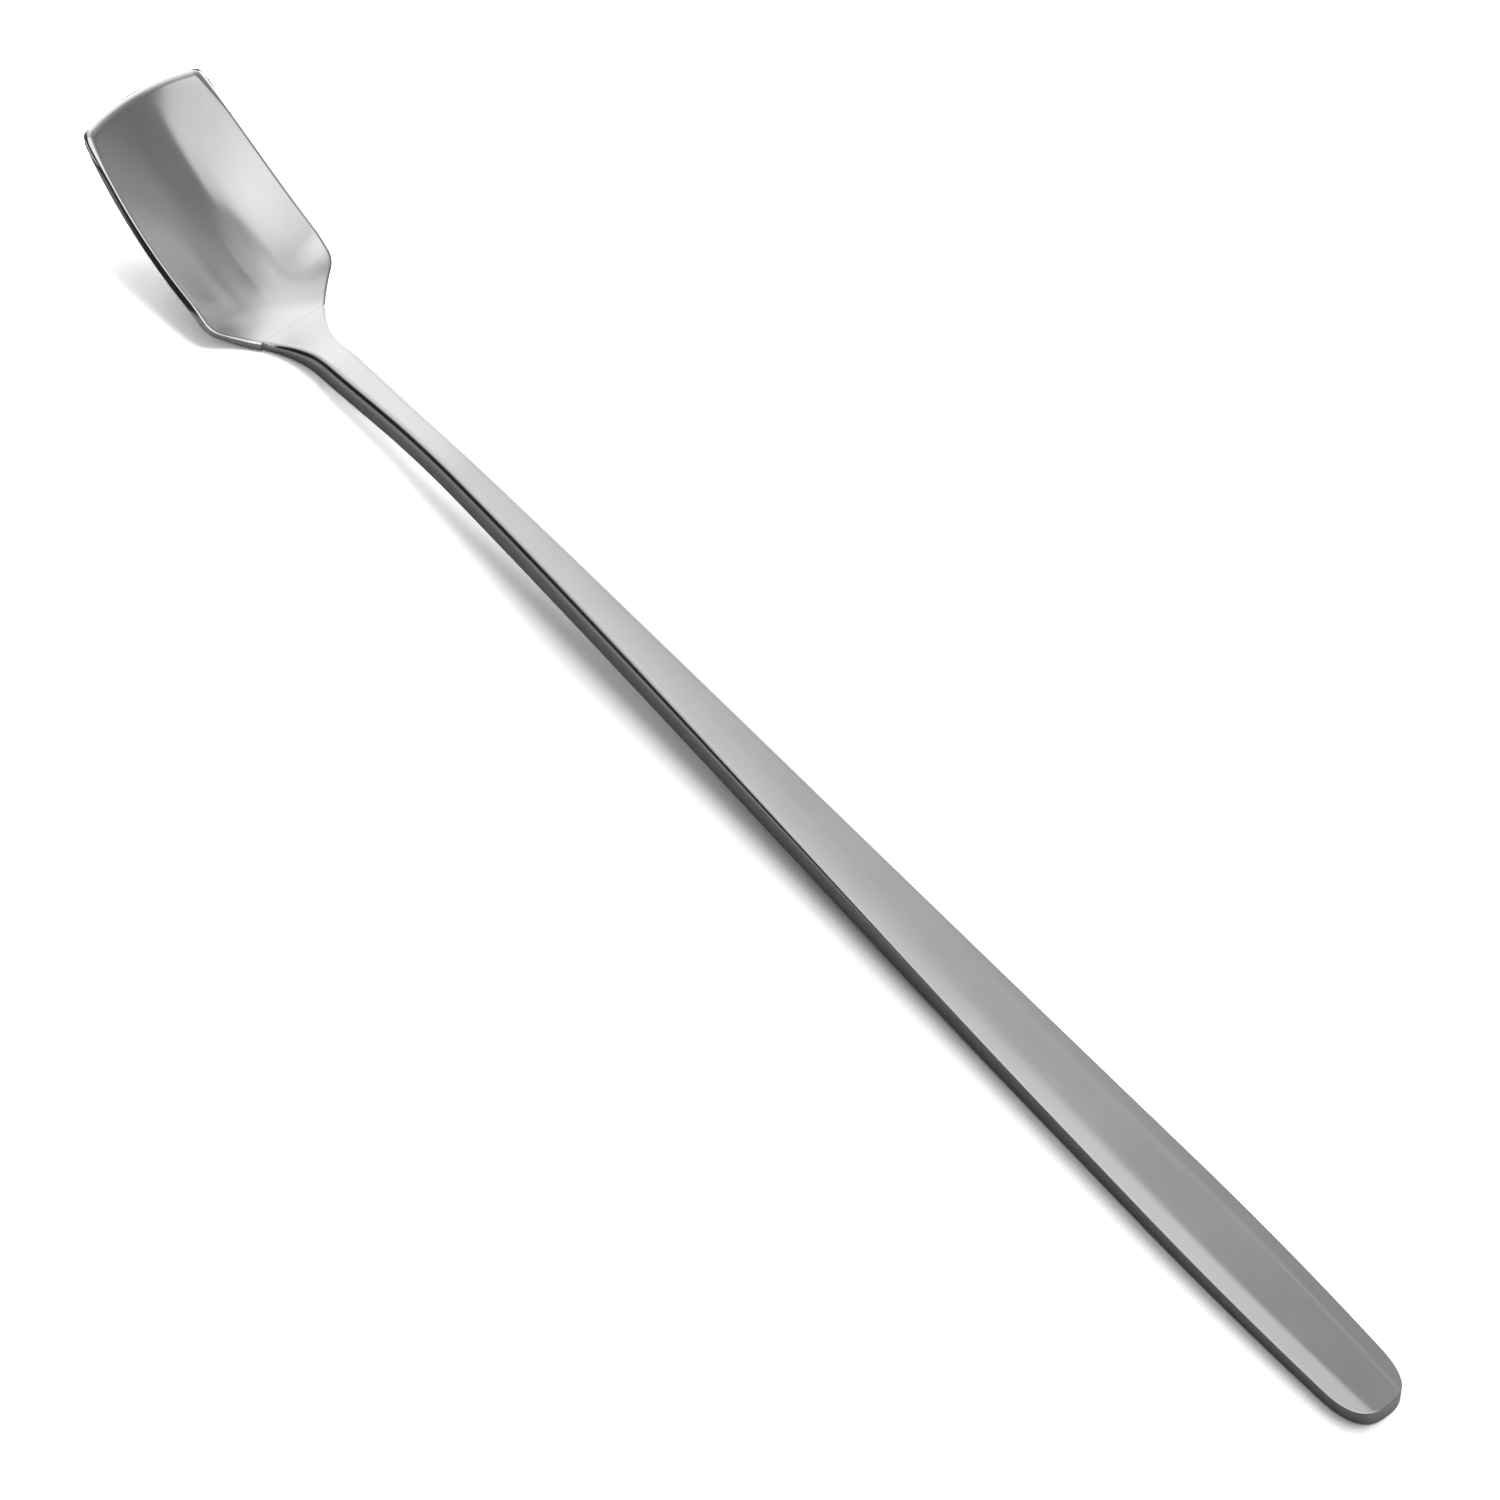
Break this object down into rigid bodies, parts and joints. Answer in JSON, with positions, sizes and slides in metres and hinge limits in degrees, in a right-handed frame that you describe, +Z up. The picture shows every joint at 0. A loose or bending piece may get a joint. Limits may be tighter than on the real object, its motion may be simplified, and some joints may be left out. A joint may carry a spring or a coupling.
{
  "type": "tasting spoon",
  "caption": "Long slim steel tasting spoon with a shallow scoop-shaped bowl, squared-off raised front and a flat arched handle that widens to a blunt round end.",
  "frame": {"origin": "on the table the spoon lies on, under the middle of its length and width", "axes": "+X along the spoon from the bowl's lip to the handle's end, +Y across it, +Z up out of the bowl"},
  "size_m": [0.25, 0.022, 0.0181],
  "materials": {
    "bowl_steel": "satin",
    "handle_steel": "satin"
  },
  "bodies": {
    "root": {"bowl": "bowl_steel", "handle": "handle_steel"}
  },
  "joints": []
}
